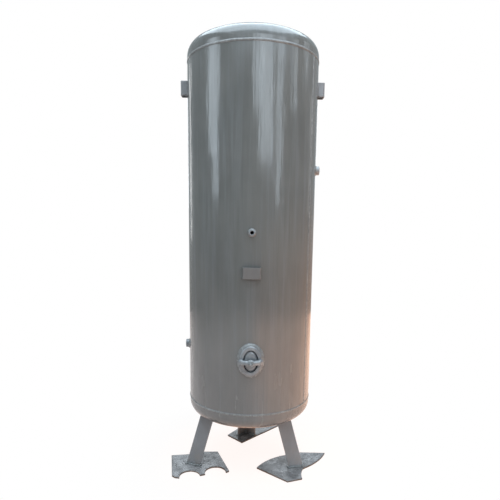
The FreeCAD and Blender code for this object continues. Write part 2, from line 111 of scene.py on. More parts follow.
# ---------------------------------------------------------------- mesh helpers
def new_object(name, points, faces):
    mesh = bpy.data.meshes.new(name)
    mesh.from_pydata(points, [], faces)
    work = bmesh.new()
    work.from_mesh(mesh)
    bmesh.ops.recalc_face_normals(work, faces=work.faces)
    work.to_mesh(mesh)
    work.free()
    made = bpy.data.objects.new(name, mesh)
    bpy.context.scene.collection.objects.link(made)
    return made


def solid(name, stations, closed):
    """Closed mesh through sections with equal counts; an open run gets end caps."""
    count = len(stations[0])
    points = [point for station in stations for point in station]
    faces = []
    for i in range(len(stations) if closed else len(stations) - 1):
        a = i * count
        b = (i + 1) % len(stations) * count
        for j in range(count):
            k = (j + 1) % count
            faces.append((a + j, b + j, b + k, a + k))
    if not closed:
        faces.append(tuple(range(count)))
        faces.append(tuple(range(len(points) - 1, len(points) - count - 1, -1)))
    return new_object(name, points, faces)


def settle(obj):
    """Makes an object's modifiers part of its mesh."""
    graph = bpy.context.evaluated_depsgraph_get()
    mesh = bpy.data.meshes.new_from_object(obj.evaluated_get(graph))
    obj.modifiers.clear()
    obj.data = mesh
    mesh.name = obj.name
    return obj


def carve(obj, *cutters):
    """Takes the cutters out of an object and removes them."""
    for cutter in cutters:
        modifier = obj.modifiers.new("carve", "BOOLEAN")
        modifier.operation = "DIFFERENCE"
        modifier.solver = "MANIFOLD"
        modifier.object = cutter
    settle(obj)
    for cutter in cutters:
        bpy.data.objects.remove(cutter)
    return obj


def place(obj, body, slot, material, *nodes, sharp=38):
    """Gives a finished piece its shading, finish and body, and hides what it stands for."""
    obj.data.materials.clear()
    obj.data.materials.append(material)
    obj.data.shade_smooth()
    obj.data.set_sharp_from_angle(angle=math.radians(sharp))
    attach(obj, body)
    if nodes:
        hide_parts(*nodes)
    return obj


def cylinder(radius, start, direction, length, count=48):
    side = direction.orthogonal().normalized()
    other = direction.cross(side)
    around = [(math.cos(TURN * i / count), math.sin(TURN * i / count)) for i in range(count)]
    rings = []
    for h in (0, length):
        rings.append([start + direction * h + (side * c + other * s) * radius for c, s in around])
    return solid("cutter", rings, False)


def ellipse_stations(section, count):
    """Sections round the handhole.  The section is a list of (half sizes, distance from the axis)."""
    stations = []
    for i in range(count):
        c, s = math.cos(TURN * i / count), math.sin(TURN * i / count)
        stations.append([
            Vector((half[0] * c, -distance, HANDHOLE.z + half[1] * s)) for half, distance in section
        ])
    return stations


def between(a, b, t):
    return tuple(p + (q - p) * t for p, q in zip(a, b))


def grown(half, by):
    return (half[0] + by, half[1] + by)


def quarter(centre, radius, start, end, count):
    """Points on an arc in a section's plane, angles in degrees."""
    angles = [math.radians(start + (end - start) * i / count) for i in range(count + 1)]
    return [(centre[0] + radius * math.cos(a), centre[1] + radius * math.sin(a)) for a in angles]


# ---------------------------------------------------------------- shell and heads
AROUND = 384


def wave(azimuth, z):
    """How far the rolled plate stands off the true cylinder."""
    x, y = math.sin(azimuth) * SHELL_RADIUS, math.cos(azimuth) * SHELL_RADIUS
    broad = noise.noise(Vector((x * 6, y * 6, z * 1.3)))
    narrow = noise.noise(Vector((x * 21, y * 21, z * 2.2 + 7)))
    fine = noise.noise(Vector((x * 55, y * 55, z * 4.5 + 3)))
    return (0.55 * broad + 0.22 * narrow + 0.035 * fine) * MM


def shell():
    rows = 150
    z_low = BOTTOM_WELD_Z + PLATE_EDGE
    z_high = TOP_WELD_Z - PLATE_EDGE
    half_gap = PLATE_EDGE / SHELL_RADIUS
    stations = []
    for i in range(AROUND + 1):
        azimuth = SEAM_AZIMUTH + half_gap + (TURN - 2 * half_gap) * i / AROUND
        out = outward(azimuth)
        section = []
        for j in range(rows + 1):
            t = j / rows
            z = z_low + (z_high - z_low) * (t - 0.03 * math.sin(TURN * t))
            edge = min(z - z_low, z_high - z)
            pulled_in = 0.5 * MM * math.exp(-((edge / (26 * MM)) ** 2))
            section.append(out * (SHELL_RADIUS + wave(azimuth, z) - 0.4 * MM - pulled_in) + UP * z)
        for j in range(31):
            z = z_high + (z_low - z_high) * j / 30
            section.append(out * (SHELL_RADIUS - WALL) + UP * z)
        stations.append(section)
    made = solid("tank_shell", stations, False)
    cutters = [oval_cutter(grown(RING_OUTER, -OVERLAP))]
    for name in ("gauge", "outlet", "inlet"):
        node = name + "_coupling"
        azimuth = azimuth_of(middle(node))
        radius = (highest(node).z - lowest(node).z) / 2 - OVERLAP
        start = outward(azimuth) * (SHELL_RADIUS - 5 * WALL) + UP * middle(node).z
        cutters.append(cylinder(radius, start, outward(azimuth), 10 * WALL))
    return carve(made, *cutters)


def oval_cutter(half):
    rings = []
    for distance in (RING_BACK - WALL, RING_FACE):
        rings.append([station[0] for station in ellipse_stations([(half, distance)], 96)])
    return solid("cutter", rings, False)


def head_profile(inset, hole, knuckle_steps, crown_steps):
    """(radius, height over the weld's middle) from a head's rim to the hole at its apex."""
    knuckle_centre_r = SHELL_RADIUS - KNUCKLE_RADIUS
    spread = CROWN_RADIUS - KNUCKLE_RADIUS
    crown_centre_h = HEAD_FLANGE - math.sqrt(spread ** 2 - knuckle_centre_r ** 2)
    tangent = math.asin(knuckle_centre_r / spread)
    knuckle, crown = KNUCKLE_RADIUS - inset, CROWN_RADIUS - inset
    rim = PLATE_EDGE - inset / WALL * (PLATE_EDGE - GROOVE_ROOT / 2)
    points = [(SHELL_RADIUS - inset, rim + (HEAD_FLANGE - rim) * i / 3) for i in range(3)]
    for i in range(knuckle_steps):
        a = math.pi / 2 + (tangent - math.pi / 2) * i / knuckle_steps
        points.append((knuckle_centre_r + knuckle * math.sin(a), HEAD_FLANGE + knuckle * math.cos(a)))
    last = math.asin(hole / crown)
    for i in range(crown_steps + 1):
        a = tangent + (last - tangent) * i / crown_steps
        points.append((crown * math.sin(a), crown_centre_h + crown * math.cos(a)))
    return points


def head(name, weld_z, side, port):
    hole = (highest(port).x - lowest(port).x) / 2 - OVERLAP
    outer = head_profile(0, hole, 18, 30)
    inner = head_profile(WALL, hole, 8, 14)[::-1]
    stations = []
    for i in range(AROUND):
        azimuth = TURN * i / AROUND
        section = []
        for r, h in outer:
            swell = wave(azimuth, weld_z + side * 2.5 * h) * min(1, r / (120 * MM)) * 0.6 - 0.35 * MM
            radial = swell * min(1, max(0, 1 - (h - HEAD_FLANGE) / KNUCKLE_RADIUS))
            section.append(outward(azimuth) * (r + radial) + UP * (weld_z + side * (h + swell - radial)))
        section += [outward(azimuth) * r + UP * (weld_z + side * h) for r, h in inner]
        stations.append(section)
    return solid(name, stations, True)


def apex(weld_z, side):
    return weld_z + side * head_profile(0, 0, 2, 2)[-1][1]


# ---------------------------------------------------------------- weld beads
RIPPLE_STEPS = 6


def ripple(step, across):
    """0 in the valley between two weld ripples, 1 on a crest; crests bow along the bead."""
    return abs(math.sin(math.pi * (step / RIPPLE_STEPS + 0.45 * across ** 2)))


def butt_weld(name, length, pitch, closed, at):
    """Butt weld through the wall.  at(along, across, height) is a point over the plate."""
    steps = max(12, round(length / pitch) * RIPPLE_STEPS)
    stations = []
    for i in range(steps if closed else steps + 1):
        along = length * i / steps
        seed = Vector((math.cos(TURN * i / steps) * 9, math.sin(TURN * i / steps) * 9, length)) if closed \
            else Vector((along * 28, 3, 1))
        drift = noise.noise(seed) * 0.5 * MM
        half = WELD_WIDTH / 2 * (1 + 0.12 * noise.noise(seed * 3.1))
        section = []
        for j in range(11):
            u = -1 + 0.2 * j
            crest = 0.92 + 0.05 * ripple(i, u) + 0.03 * noise.noise(seed * 9 + Vector((0, 0, u)))
            height = WELD_CAP * (max(0, 1 - u * u) ** 0.6 * crest) - 0.3 * MM * abs(u)
            section.append(at(along, drift + u * half, height))
        section.append(at(along, half * 0.8, -0.4 * WALL))
        for u in (1, 0.4, -0.4, -1):
            section.append(at(along, u * GROOVE_ROOT, -WALL - 0.6 * MM * (1 - u * u)))
        section.append(at(along, -half * 0.8, -0.4 * WALL))
        stations.append(section)
    return solid(name, stations, closed)


def girth_weld(name, z):
    def at(along, across, height):
        return outward(along / SHELL_RADIUS) * (SHELL_RADIUS + height) + UP * (z + across)
    return butt_weld(name, TURN * SHELL_RADIUS, 4.6 * MM, True, at)


def seam_weld(name):
    low = BOTTOM_WELD_Z + WELD_WIDTH * 0.45

    def at(along, across, height):
        azimuth = SEAM_AZIMUTH + across / SHELL_RADIUS
        return outward(azimuth) * (SHELL_RADIUS + height) + UP * (low + along)
    return butt_weld(name, TOP_WELD_Z - BOTTOM_WELD_Z - WELD_WIDTH * 0.9, 4.2 * MM, False, at)


def fillet_weld(name, half, leg, frame_axes, depth_at, pitch=4 * MM):
    """Fillet weld round a round or oval pipe that stands on a wall.

    frame_axes is (origin, across, along, out), and depth_at(x, y) is the wall's distance
    from the origin along out.
    """
    origin, side, up, out = frame_axes
    sunk = 0.6 * MM
    steps = round(math.pi * (half[0] + half[1]) / pitch) * RIPPLE_STEPS
    stations = []
    for i in range(steps):
        angle = TURN * i / steps
        c, s = math.cos(angle), math.sin(angle)
        normal = Vector((half[1] * c, half[0] * s)).normalized()
        base = Vector((half[0] * c, half[1] * s))
        seed = Vector((c * 2.3, s * 2.3, leg * 1000))
        size = leg * (1 + 0.10 * noise.noise(seed) + 0.05 * noise.noise(seed * 4))
        offsets = [(-sunk, -2 * MM), (size * 1.05, -2 * MM)]
        for j in range(10):
            a = math.pi / 2 * j / 9
            grow = 1 + 0.07 * (ripple(i, 1 - 2 * j / 9) - 0.8)
            off = size * grow * math.cos(a) ** 1.35
            high = size * grow * math.sin(a) ** 1.35
            offsets.append((off - 0.2 * MM, high))
        offsets.append((-sunk, size))
        section = []
        for off, high in offsets:
            flat = base + normal * off
            section.append(origin + side * flat.x + up * flat.y + out * (depth_at(flat.x, flat.y) + high))
        stations.append(section)
    return solid(name, stations, True)


def on_shell(x, _):
    return math.sqrt(SHELL_RADIUS ** 2 - x * x)


def on_crown(centre_distance):
    return lambda x, y: centre_distance + math.sqrt(CROWN_RADIUS ** 2 - x * x - y * y)


def remeshed(node, name, voxel, rounds):
    """Copy of a CAD node's mesh as an even grid of small faces, smoothed."""
    made = bpy.data.objects.new(name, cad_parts[node].data.copy())
    bpy.context.scene.collection.objects.link(made)
    merge_doubles(made)
    remesh = made.modifiers.new("remesh", "REMESH")
    remesh.mode = "VOXEL"
    remesh.voxel_size = voxel
    smooth = made.modifiers.new("smooth", "SMOOTH")
    smooth.factor = 0.5
    smooth.iterations = rounds
    return settle(made)


def organic(node, voxel, lump, seed):
    """Hand-laid look for a short weld: the CAD solid, remeshed, rounded and rippled."""
    made = remeshed(node, node + "_bead", voxel, 7)
    moved = []
    for vertex in made.data.vertices:
        point = vertex.co / MM
        crest = noise.noise(point * 0.34 + Vector((seed, 0, 0)))
        grain = noise.noise(point * 0.9 + Vector((0, seed, 0)))
        moved.append(vertex.co + vertex.normal * lump * (0.45 + 0.75 * crest + 0.2 * grain))
    return reshaped(made, moved)


def reshaped(obj, points):
    obj.data.vertices.foreach_set("co", [value for point in points for value in point])
    obj.data.update()
    return obj


def surface_of(node):
    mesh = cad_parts[node].data
    return BVHTree.FromPolygons([v.co for v in mesh.vertices], [p.vertices for p in mesh.polygons])


def merge_doubles(obj):
    work = bmesh.new()
    work.from_mesh(obj.data)
    bmesh.ops.remove_doubles(work, verts=work.verts, dist=0.01 * MM)
    work.to_mesh(obj.data)
    work.free()


# ---------------------------------------------------------------- threaded pieces
def flank(turns):
    """Thread form: 0 in the root, 1 on the crest."""
    saw = abs((turns % 1) * 2 - 1)
    return min(1, max(0, saw * 1.35 - 0.175))


def coupling(name, node, direction, bore, thread_depth, pitch):
    """Half coupling with a chamfered mouth and a cut thread."""
    lo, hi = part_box(node)
    size = hi - lo
    length = abs(size.dot(direction))
    outside = (size.z if abs(direction.z) < 0.5 else size.x) / 2
    centre = (lo + hi) / 2
    start = centre - direction * (length / 2)
    side = UP.cross(direction) if abs(direction.z) < 0.5 else Vector((1, 0, 0))
    up = direction.cross(side)
    chamfer = 1.0 * MM
    rows = round(length / pitch * RIPPLE_STEPS)
    stations = []
    count = 96
    for i in range(count):
        angle = TURN * i / count
        radial = side * math.cos(angle) + up * math.sin(angle)
        section = [(outside - 0.5 * MM, 0), (outside, 0.5 * MM), (outside, length - 1.4 * chamfer)]
        section += [(outside - 0.35 * chamfer, length - 0.55 * chamfer),
                    (outside - chamfer * 1.1, length - 0.1 * chamfer), (outside - chamfer * 1.6, length),
                    (bore + thread_depth + 0.5 * MM, length)]
        for j in range(rows + 1):
            h = (length - chamfer) * (1 - j / rows)
            crest = flank(h / pitch - i / count)
            mouth = min(1, max(0, (length - h) / (2.5 * chamfer)))
            section.append((bore + thread_depth * (1 - crest * mouth), h))
        section.append((bore + thread_depth + 0.3 * MM, 0))
        stations.append([start + radial * r + direction * h for r, h in section])
    return solid(name, stations, True)


def on_stud(lo, hi, angle, radius, depth):
    """Point round the stud's axis, at a depth in front of the back of the box from lo to hi."""
    centre = (lo + hi) / 2
    return Vector((centre.x + radius * math.cos(angle), hi.y - depth, centre.z + radius * math.sin(angle)))


def stud(name):
    """Threaded rod with a turned tip."""
    lo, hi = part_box("handhole_stud")
    radius = (hi.x - lo.x) / 2 - 0.05 * MM
    length = hi.y - lo.y
    rows = round(length / STUD_PITCH * RIPPLE_STEPS)
    stations = []
    for j in range(rows + 1):
        h = length * j / rows
        tip = max(0, 1.3 * MM - (length - h))
        ring = []
        for i in range(40):
            crest = flank(h / STUD_PITCH - i / 40)
            r = min(radius - STUD_THREAD_DEPTH * (1 - crest), radius - tip)
            ring.append(on_stud(lo, hi, TURN * i / 40, r, h))
        stations.append(ring)
    return solid(name, stations, False)


def nut(name):
    """Hexagon nut, chamfered on both faces, with a countersunk bore."""
    lo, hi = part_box("handhole_nut")
    flat = (hi.x - lo.x) / 2
    height = hi.y - lo.y
    turned = flat * 0.97
    flare = NUT_BORE + 0.8 * MM
    nick = 0.15 * MM
    count = 120
    stations = []
    for i in range(count):
        angle = TURN * i / count
        folded = (angle + math.pi / 6) % (math.pi / 3) - math.pi / 6
        reach = flat / math.cos(folded)
        fall = max(0, reach - turned) * math.tan(math.radians(30)) + nick
        section = [(NUT_BORE, 0.9 * MM), (flare, 0), (turned, 0), (reach - nick, fall),
                   (reach, fall + 0.2 * MM), (reach, height - fall - 0.2 * MM),
                   (reach - nick, height - fall), (turned, height), (flare, height),
                   (NUT_BORE, height - 0.9 * MM)]
        stations.append([on_stud(lo, hi, angle, r, h) for r, h in section])
    return solid(name, stations, True)


def washer(name):
    lo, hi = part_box("handhole_washer")
    outside = (hi.x - lo.x) / 2
    thick = hi.y - lo.y
    edge = 0.5 * MM
    section = [(WASHER_HOLE, edge), (WASHER_HOLE + edge, 0), (outside - edge, 0),
               (outside - 0.15 * MM, 0.15 * MM), (outside, edge), (outside, thick - edge),
               (outside - 0.3 * MM, thick - 0.12 * MM), (outside - edge * 1.6, thick),
               (WASHER_HOLE + edge, thick), (WASHER_HOLE, thick - edge)]
    stations = []
    for i in range(72):
        stations.append([on_stud(lo, hi, TURN * i / 72, r, h) for r, h in section])
    return solid(name, stations, True)


# ---------------------------------------------------------------- handhole
def handhole_ring():
    """Oval forging: rounded outer edge, machined face, small break at the opening."""
    edge = 7 * MM
    dulled = 0.6 * MM
    width = RING_OUTER[0] - OPENING[0]
    section = [(0, RING_BACK + dulled), (0, RING_FACE - 1.2 * MM), (0.35 * MM, RING_FACE - 0.35 * MM),
               (1.2 * MM, RING_FACE)]
    section += [(width * t, RING_FACE) for t in (0.25, 0.5)]
    section += quarter((width - edge, RING_FACE - edge), edge, 90, 0, 8)
    section += [(width, RING_BACK + dulled), (width - dulled, RING_BACK), (dulled, RING_BACK)]
    ovals = [(grown(OPENING, off), y) for off, y in section]
    return solid("handhole_seat_ring", ellipse_stations(ovals, 144), True)


def handhole_cover():
    """Pressed cover: flange behind the ring and a domed boss that fills the opening."""
    hole = (COVER_STUD_HOLE, COVER_STUD_HOLE)
    face = -lowest("handhole_cover").y
    flange_face = GASKET_BACK
    back = -highest("handhole_cover").y
    # (share of the way from the stud's hole to the boss's side, fall from its face in mm)
    dome = [(0, 0), (0.25, 0.0), (0.5, 0.05), (0.6, 0.15), (0.67, 0.45), (0.73, 1.1), (0.78, 2.1),
            (0.83, 3.3), (0.88, 4.8), (0.92, 6.2), (0.95, 7.5), (0.975, 9.2), (0.99, 10.7), (1.0, 13.0)]
    front = [(between(hole, COVER_BOSS, k), face - drop * MM) for k, drop in dome]
    front += [(COVER_BOSS, flange_face + 3 * MM), (grown(COVER_BOSS, 0.9 * MM), flange_face + 0.9 * MM),
              (grown(COVER_BOSS, 3 * MM), flange_face), (grown(COVER_FLANGE, -1.2 * MM), flange_face),
              (grown(COVER_FLANGE, -0.3 * MM), flange_face - 0.3 * MM),
              (COVER_FLANGE, flange_face - 1.2 * MM), (COVER_FLANGE, back + 1.2 * MM),
              (grown(COVER_FLANGE, -1.2 * MM), back)]
    inside = grown(COVER_BOSS, -COVER_WALL)
    rear = [(inside, back), (inside, face - COVER_WALL - 13 * MM)]
    rear += [(between(hole, inside, k), face - COVER_WALL - drop * MM) for k, drop in dome[-2:0:-1]]
    rear.append((hole, face - COVER_WALL))
    return solid("handhole_domed_cover", ellipse_stations(front + rear, 144), True)


def handhole_gasket():
    lo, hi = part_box("handhole_gasket")
    front, back = -lo.y, -hi.y
    outer = (hi.x, hi.z - HANDHOLE.z)
    inner = grown(OPENING, 1 * MM)
    centre = (front + back) / 2
    soft, corner = 1.3 * MM, 0.4 * MM
    section = [(grown(inner, soft), front), (grown(outer, -soft), front),
               (grown(outer, -corner), front - corner), (outer, centre),
               (grown(outer, -corner), back + corner), (grown(outer, -soft), back),
               (grown(inner, soft), back), (grown(inner, corner), back + corner),
               (inner, centre), (grown(inner, corner), front - corner)]
    return solid("handhole_seal", ellipse_stations(section, 120), True)


def yoke(name):
    """Forged bridge: two bulbs on the ring, slim necks, an arch and a hub round the stud."""
    hi = highest("handhole_yoke")
    half = hi.x
    knob, hub, neck = 13 * MM, 15 * MM, 10.5 * MM
    knob_x = half - knob
    foot_x = 34 * MM
    # the feet stand this little off the ring, so that they don't lie in its face's plane
    seat = -hi.y + 0.15 * MM
    arch_in, arch_out, knob_out = 331 * MM, 351 * MM, 331 * MM
    squareness = 0.82

    def half_height(x):
        reach = abs(x)
        parts = [neck * min(1, max(0, (half - reach) / (0.9 * knob))) ** 0.5]
        parts.append(math.sqrt(max(0, knob ** 2 - (reach - knob_x) ** 2)))
        parts.append(math.sqrt(max(0, hub ** 2 - reach ** 2)))
        return sum(part ** 5 for part in parts) ** 0.2

    xs = [half * math.sin(math.pi / 2 * (-1 + 2 * i / 108)) for i in range(109)]
    stations = []
    for x in xs:
        reach = min(abs(x), half - 0.05 * MM)
        inside = seat + (arch_in - seat) * max(0, 1 - (reach / foot_x) ** 2)
        outside = knob_out + (arch_out - knob_out) * (1 - (reach / half) ** 2)
        centre, deep = (inside + outside) / 2, (outside - inside) / 2
        round_end = math.sqrt(max(0.0004, 1 - max(0, (reach - knob_x) / knob) ** 2))
        bulb = 1 + 0.14 * math.exp(-(((reach - knob_x) / (6 * MM)) ** 2))
        high = max(0.3 * MM, half_height(reach))
        section = []
        for j in range(40):
            a = TURN * j / 40
            c, s = math.cos(a), math.sin(a)
            y = math.copysign(abs(c) ** squareness, c) * deep * round_end
            if y > 0:
                y *= bulb
            z = math.copysign(abs(s) ** squareness, s) * high
            section.append(Vector((x, -(centre + y), HANDHOLE.z + z)))
        stations.append(section)
    made = solid(name, stations, False)
    front = Vector((0, -1, 0))
    axis = Vector((0, 0, HANDHOLE.z))
    spot_face = -highest("handhole_washer").y
    stud_hole = cylinder(7 * MM, axis + front * 0.2, front, 0.3)
    return carve(made, stud_hole, cylinder(13 * MM, axis + front * spot_face, front, 0.05))


# ---------------------------------------------------------------- angle iron and sheet
def angle_outline(leg, thick, root, toe):
    """Rolled angle section as (towards the heel, across) offsets from the heel."""
    points = []
    points += quarter((-0.8 * MM, -0.8 * MM), 0.8 * MM, 0, 90, 3)
    points += [(-leg * 0.5, 0)]
    points += [(-leg, 0), (-leg, -thick + toe)]
    points += quarter((-leg + toe, -thick + toe), toe, 180, 270, 4)[1:]
    points += [(-leg * 0.55, -thick)]
    points += quarter((-thick - root, -thick - root), root, 90, 0, 7)
    points += [(-thick, -leg * 0.55)]
    points += quarter((-thick + toe, -leg + toe), toe, 180, 270, 4)
    points += [(0, -leg), (0, -leg * 0.5)]
    turn = math.sqrt(0.5)
    return [(turn * (p + q), turn * (q - p)) for p, q in points]


def angle_iron(name, heel, to_heel, across, leg, thick, limits, rows=14):
    """Angle iron whose every line runs between limits(line start), along the third axis."""
    along = across.cross(to_heel).normalized()
    if along.z < 0:
        along = -along
    columns = []
    for deep, wide in angle_outline(leg, thick, thick, thick * 0.5):
        start = heel + to_heel * deep + across * wide
        first, last = limits(start, along)
        columns.append([start + along * (first + (last - first) * i / rows) for i in range(rows + 1)])
    stations = [[column[i] for column in columns] for i in range(rows + 1)]
    return solid(name, stations, False)


def leg(name, node, head_tree):
    """Leg from its foot plate up into the bottom head's plate."""
    points = [vertex.co.copy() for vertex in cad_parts[node].data.vertices]
    floor_z = lowest(node).z
    feet = [p for p in points if p.z < floor_z + 0.1 * MM]
    foot = max(feet, key=lambda p: p.to_2d().length)
    top = max(points, key=lambda p: p.z)
    along = (top - foot).normalized()
    out = Vector((foot.x, foot.y, 0)).normalized()
    to_heel = (out - along * out.dot(along)).normalized()
    across = along.cross(to_heel)

    def limits(start, direction):
        first = (floor_z - start.z) / direction.z
        run_up = 0.02
        hit = head_tree.ray_cast(start + direction * (first - run_up), direction)[3]
        return first, first - run_up + hit + 0.35 * WALL

    return angle_iron(name, foot, to_heel, across, LEG_SIZE, LEG_THICKNESS, limits)


def channel(name, azimuth, half, span, reach, thick, bend):
    """Plate folded into a U whose flanges stand on the shell, turned to its azimuth."""
    root = SHELL_RADIUS - WALL
    outer = [(half, root), (half, (reach - bend + root) / 2)]
    outer += quarter((half - bend, reach - bend), bend, 0, 90, 6)
    outer += [(half * 0.5, reach)]
    inner = [(half * 0.5, reach - thick)]
    inner += quarter((half - bend, reach - bend), bend - thick, 90, 0, 4)
    inner += [(half - thick, root)]
    outline = outer + [(-x, y) for x, y in outer[::-1]] + [(-x, y) for x, y in inner[::-1]] + inner
    turn = Matrix.Rotation(azimuth, 3, "Z")
    rows = 10
    stations = []
    for i in range(rows + 1):
        z = span[0] + (span[1] - span[0]) * i / rows
        ring = []
        for x, y in outline:
            sag = 0.25 * MM * noise.noise(Vector((x * 40, z * 40, 5)))
            ring.append(turn @ Vector((x, -(y - abs(sag)), z)))
        stations.append(ring)
    made = solid(name, stations, False)
    bevel = made.modifiers.new("bevel", "BEVEL")
    bevel.width = 0.5 * MM
    bevel.segments = 2
    bevel.limit_method = "ANGLE"
    bevel.angle_limit = math.radians(60)
    return settle(made)


def lug(name, node):
    lo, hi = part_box(node)
    reach = max(-lo.x, hi.x)
    half = (hi.y - lo.y) / 2
    return channel(name, azimuth_of(middle(node)), half, (lo.z, hi.z), reach, LUG_THICKNESS, LUG_BEND)


def bracket(name):
    lo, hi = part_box("nameplate_bracket")
    return channel(name, 0.0, hi.x, (lo.z, hi.z), -lo.y, BRACKET_SHEET, BRACKET_BEND)


# ---------------------------------------------------------------- foot plates
def foot_plate(name, node, leg_node, seed):
    """Plate off-cut: flame-cut drag lines on its edges, weld heat lumps round the leg."""
    underside = lowest(node).z
    made = remeshed(node, name, 1.7 * MM, 3)
    leg_lo = lowest(leg_node)
    base = Vector(((leg_lo.x + highest(leg_node).x) / 2, (leg_lo.y + highest(leg_node).y) / 2, 0))
    moved = []
    for vertex in made.data.vertices:
        co, normal = vertex.co.copy(), vertex.normal.copy()
        point = co / MM
        if abs(normal.z) < 0.75:
            drag = noise.noise(Vector((point.x * 0.5, point.y * 0.5, seed + point.z * 0.05)))
            chip = noise.noise(Vector((point.x * 0.09, point.y * 0.09, seed)))
            cut = 0.28 * abs(drag) + 0.5 * max(0, chip)
            co -= Vector((normal.x, normal.y, 0)) * cut * MM
        elif normal.z > 0:
            near = math.exp(-(((co - base).to_2d().length / 0.075) ** 2))
            lumps = max(0, noise.noise(Vector((point.x * 0.055, point.y * 0.055, seed * 3.3))) - 0.12)
            small = noise.noise(Vector((point.x * 0.2, point.y * 0.2, seed * 1.7)))
            warp = noise.noise(Vector((point.x * 0.012, point.y * 0.012, seed)))
            co.z += (near * 3.2 * lumps + (0.10 + 0.35 * near) * small + 0.5 * warp - 0.3) * MM
        co.z = max(co.z, underside)
        moved.append(co)
    return reshaped(made, moved)


def spatter(name, leg_node, plate_node, seed, count):
    """Weld spatter beads, half sunk into the foot plate round a leg."""
    rng = random.Random(seed)
    tree = surface_of(plate_node)
    points = [v.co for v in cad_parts[leg_node].data.vertices if v.co.z < lowest(leg_node).z + MM]
    foot = sum(points, Vector()) / len(points)
    top = highest(plate_node).z
    work = bmesh.new()
    made_count = 0
    while made_count < count:
        angle = rng.uniform(0, TURN)
        reach = 34 * MM + abs(rng.gauss(0, 34 * MM))
        x, y = foot.x + reach * math.cos(angle), foot.y + reach * math.sin(angle)
        hit = tree.ray_cast(Vector((x, y, top + 0.01)), -UP)
        size = rng.uniform(0.5, 1.9) * MM
        turn = rng.uniform(0, TURN)
        if hit[0] is None or hit[0].z < top - MM:
            continue
        stretch = Matrix.Diagonal((rng.uniform(0.9, 1.6), 1, rng.uniform(0.45, 0.8), 1))
        matrix = Matrix.Translation((x, y, top - 0.1 * size)) @ Matrix.Rotation(turn, 4, "Z") @ stretch
        bmesh.ops.create_icosphere(work, subdivisions=2, radius=size, matrix=matrix)
        made_count += 1
    mesh = bpy.data.meshes.new(name)
    work.to_mesh(mesh)
    work.free()
    made = bpy.data.objects.new(name, mesh)
    bpy.context.scene.collection.objects.link(made)
    return made


# ---------------------------------------------------------------- materials
class Finish:
    """A material under construction on one Principled BSDF."""

    def __init__(self, name):
        self.material = bpy.data.materials.new(name)
        self.material.use_nodes = True
        self.tree = self.material.node_tree
        self.surface = self.tree.nodes["Principled BSDF"]
        coords = self.tree.nodes.new("ShaderNodeTexCoord")
        self.place = coords.outputs["Object"]
        self.facing = coords.outputs["Normal"]

    def node(self, kind, inputs, **settings):
        made = self.tree.nodes.new(kind)
        for key, value in settings.items():
            setattr(made, key, value)
        for key, value in inputs.items():
            self.put(made.inputs[key], value)
        return made

    def put(self, socket, value):
        if isinstance(value, bpy.types.NodeSocket):
            self.tree.links.new(value, socket)
        else:
            socket.default_value = value

    def noise(self, scale, detail=3.0, roughness=0.5, distortion=0.0):
        """Noise from 0 to 1; scale is cycles per metre along x, y and z."""
        spot = self.node("ShaderNodeMapping", {"Vector": self.place, "Scale": scale}).outputs[0]
        inputs = {"Vector": spot, "Scale": 1.0, "Detail": detail, "Roughness": roughness,
                  "Distortion": distortion}
        return self.node("ShaderNodeTexNoise", inputs).outputs["Fac"]

    def remap(self, value, low, high, to_low=0.0, to_high=1.0):
        inputs = {0: value, 1: low, 2: high, 3: to_low, 4: to_high}
        return self.node("ShaderNodeMapRange", inputs, interpolation_type="SMOOTHSTEP").outputs[0]

    def sum(self, a, b, operation="ADD"):
        return self.node("ShaderNodeMath", {0: a, 1: b}, operation=operation).outputs[0]

    def times(self, a, b):
        return self.sum(a, b, "MULTIPLY")

    def blend(self, share, a, b):
        return self.node("ShaderNodeMix", {0: share, 6: a, 7: b}, data_type="RGBA").outputs[2]

    def height(self):
        return self.node("ShaderNodeSeparateXYZ", {0: self.place}).outputs[2]

    def upright(self):
        """Absolute vertical part of the surface's own normal."""
        z = self.node("ShaderNodeSeparateXYZ", {0: self.facing}).outputs[2]
        return self.sum(z, 0.0, "ABSOLUTE")

    def bump(self, value, distance, after=None):
        inputs = {"Height": value, "Distance": distance, "Strength": 1.0}
        if after is not None:
            inputs["Normal"] = after
        return self.node("ShaderNodeBump", inputs).outputs[0]

    def done(self, colour, roughness, normal, coat=0.0, metallic=0.0, coat_roughness=0.05):
        self.put(self.surface.inputs["Base Color"], colour)
        self.put(self.surface.inputs["Roughness"], roughness)
        self.put(self.surface.inputs["Normal"], normal)
        self.put(self.surface.inputs["Coat Normal"], normal)
        self.put(self.surface.inputs["Coat Weight"], coat)
        self.put(self.surface.inputs["Coat Roughness"], coat_roughness)
        self.put(self.surface.inputs["Metallic"], metallic)
        return self.material


def rgb(r, g, b):
    return (r, g, b, 1.0)


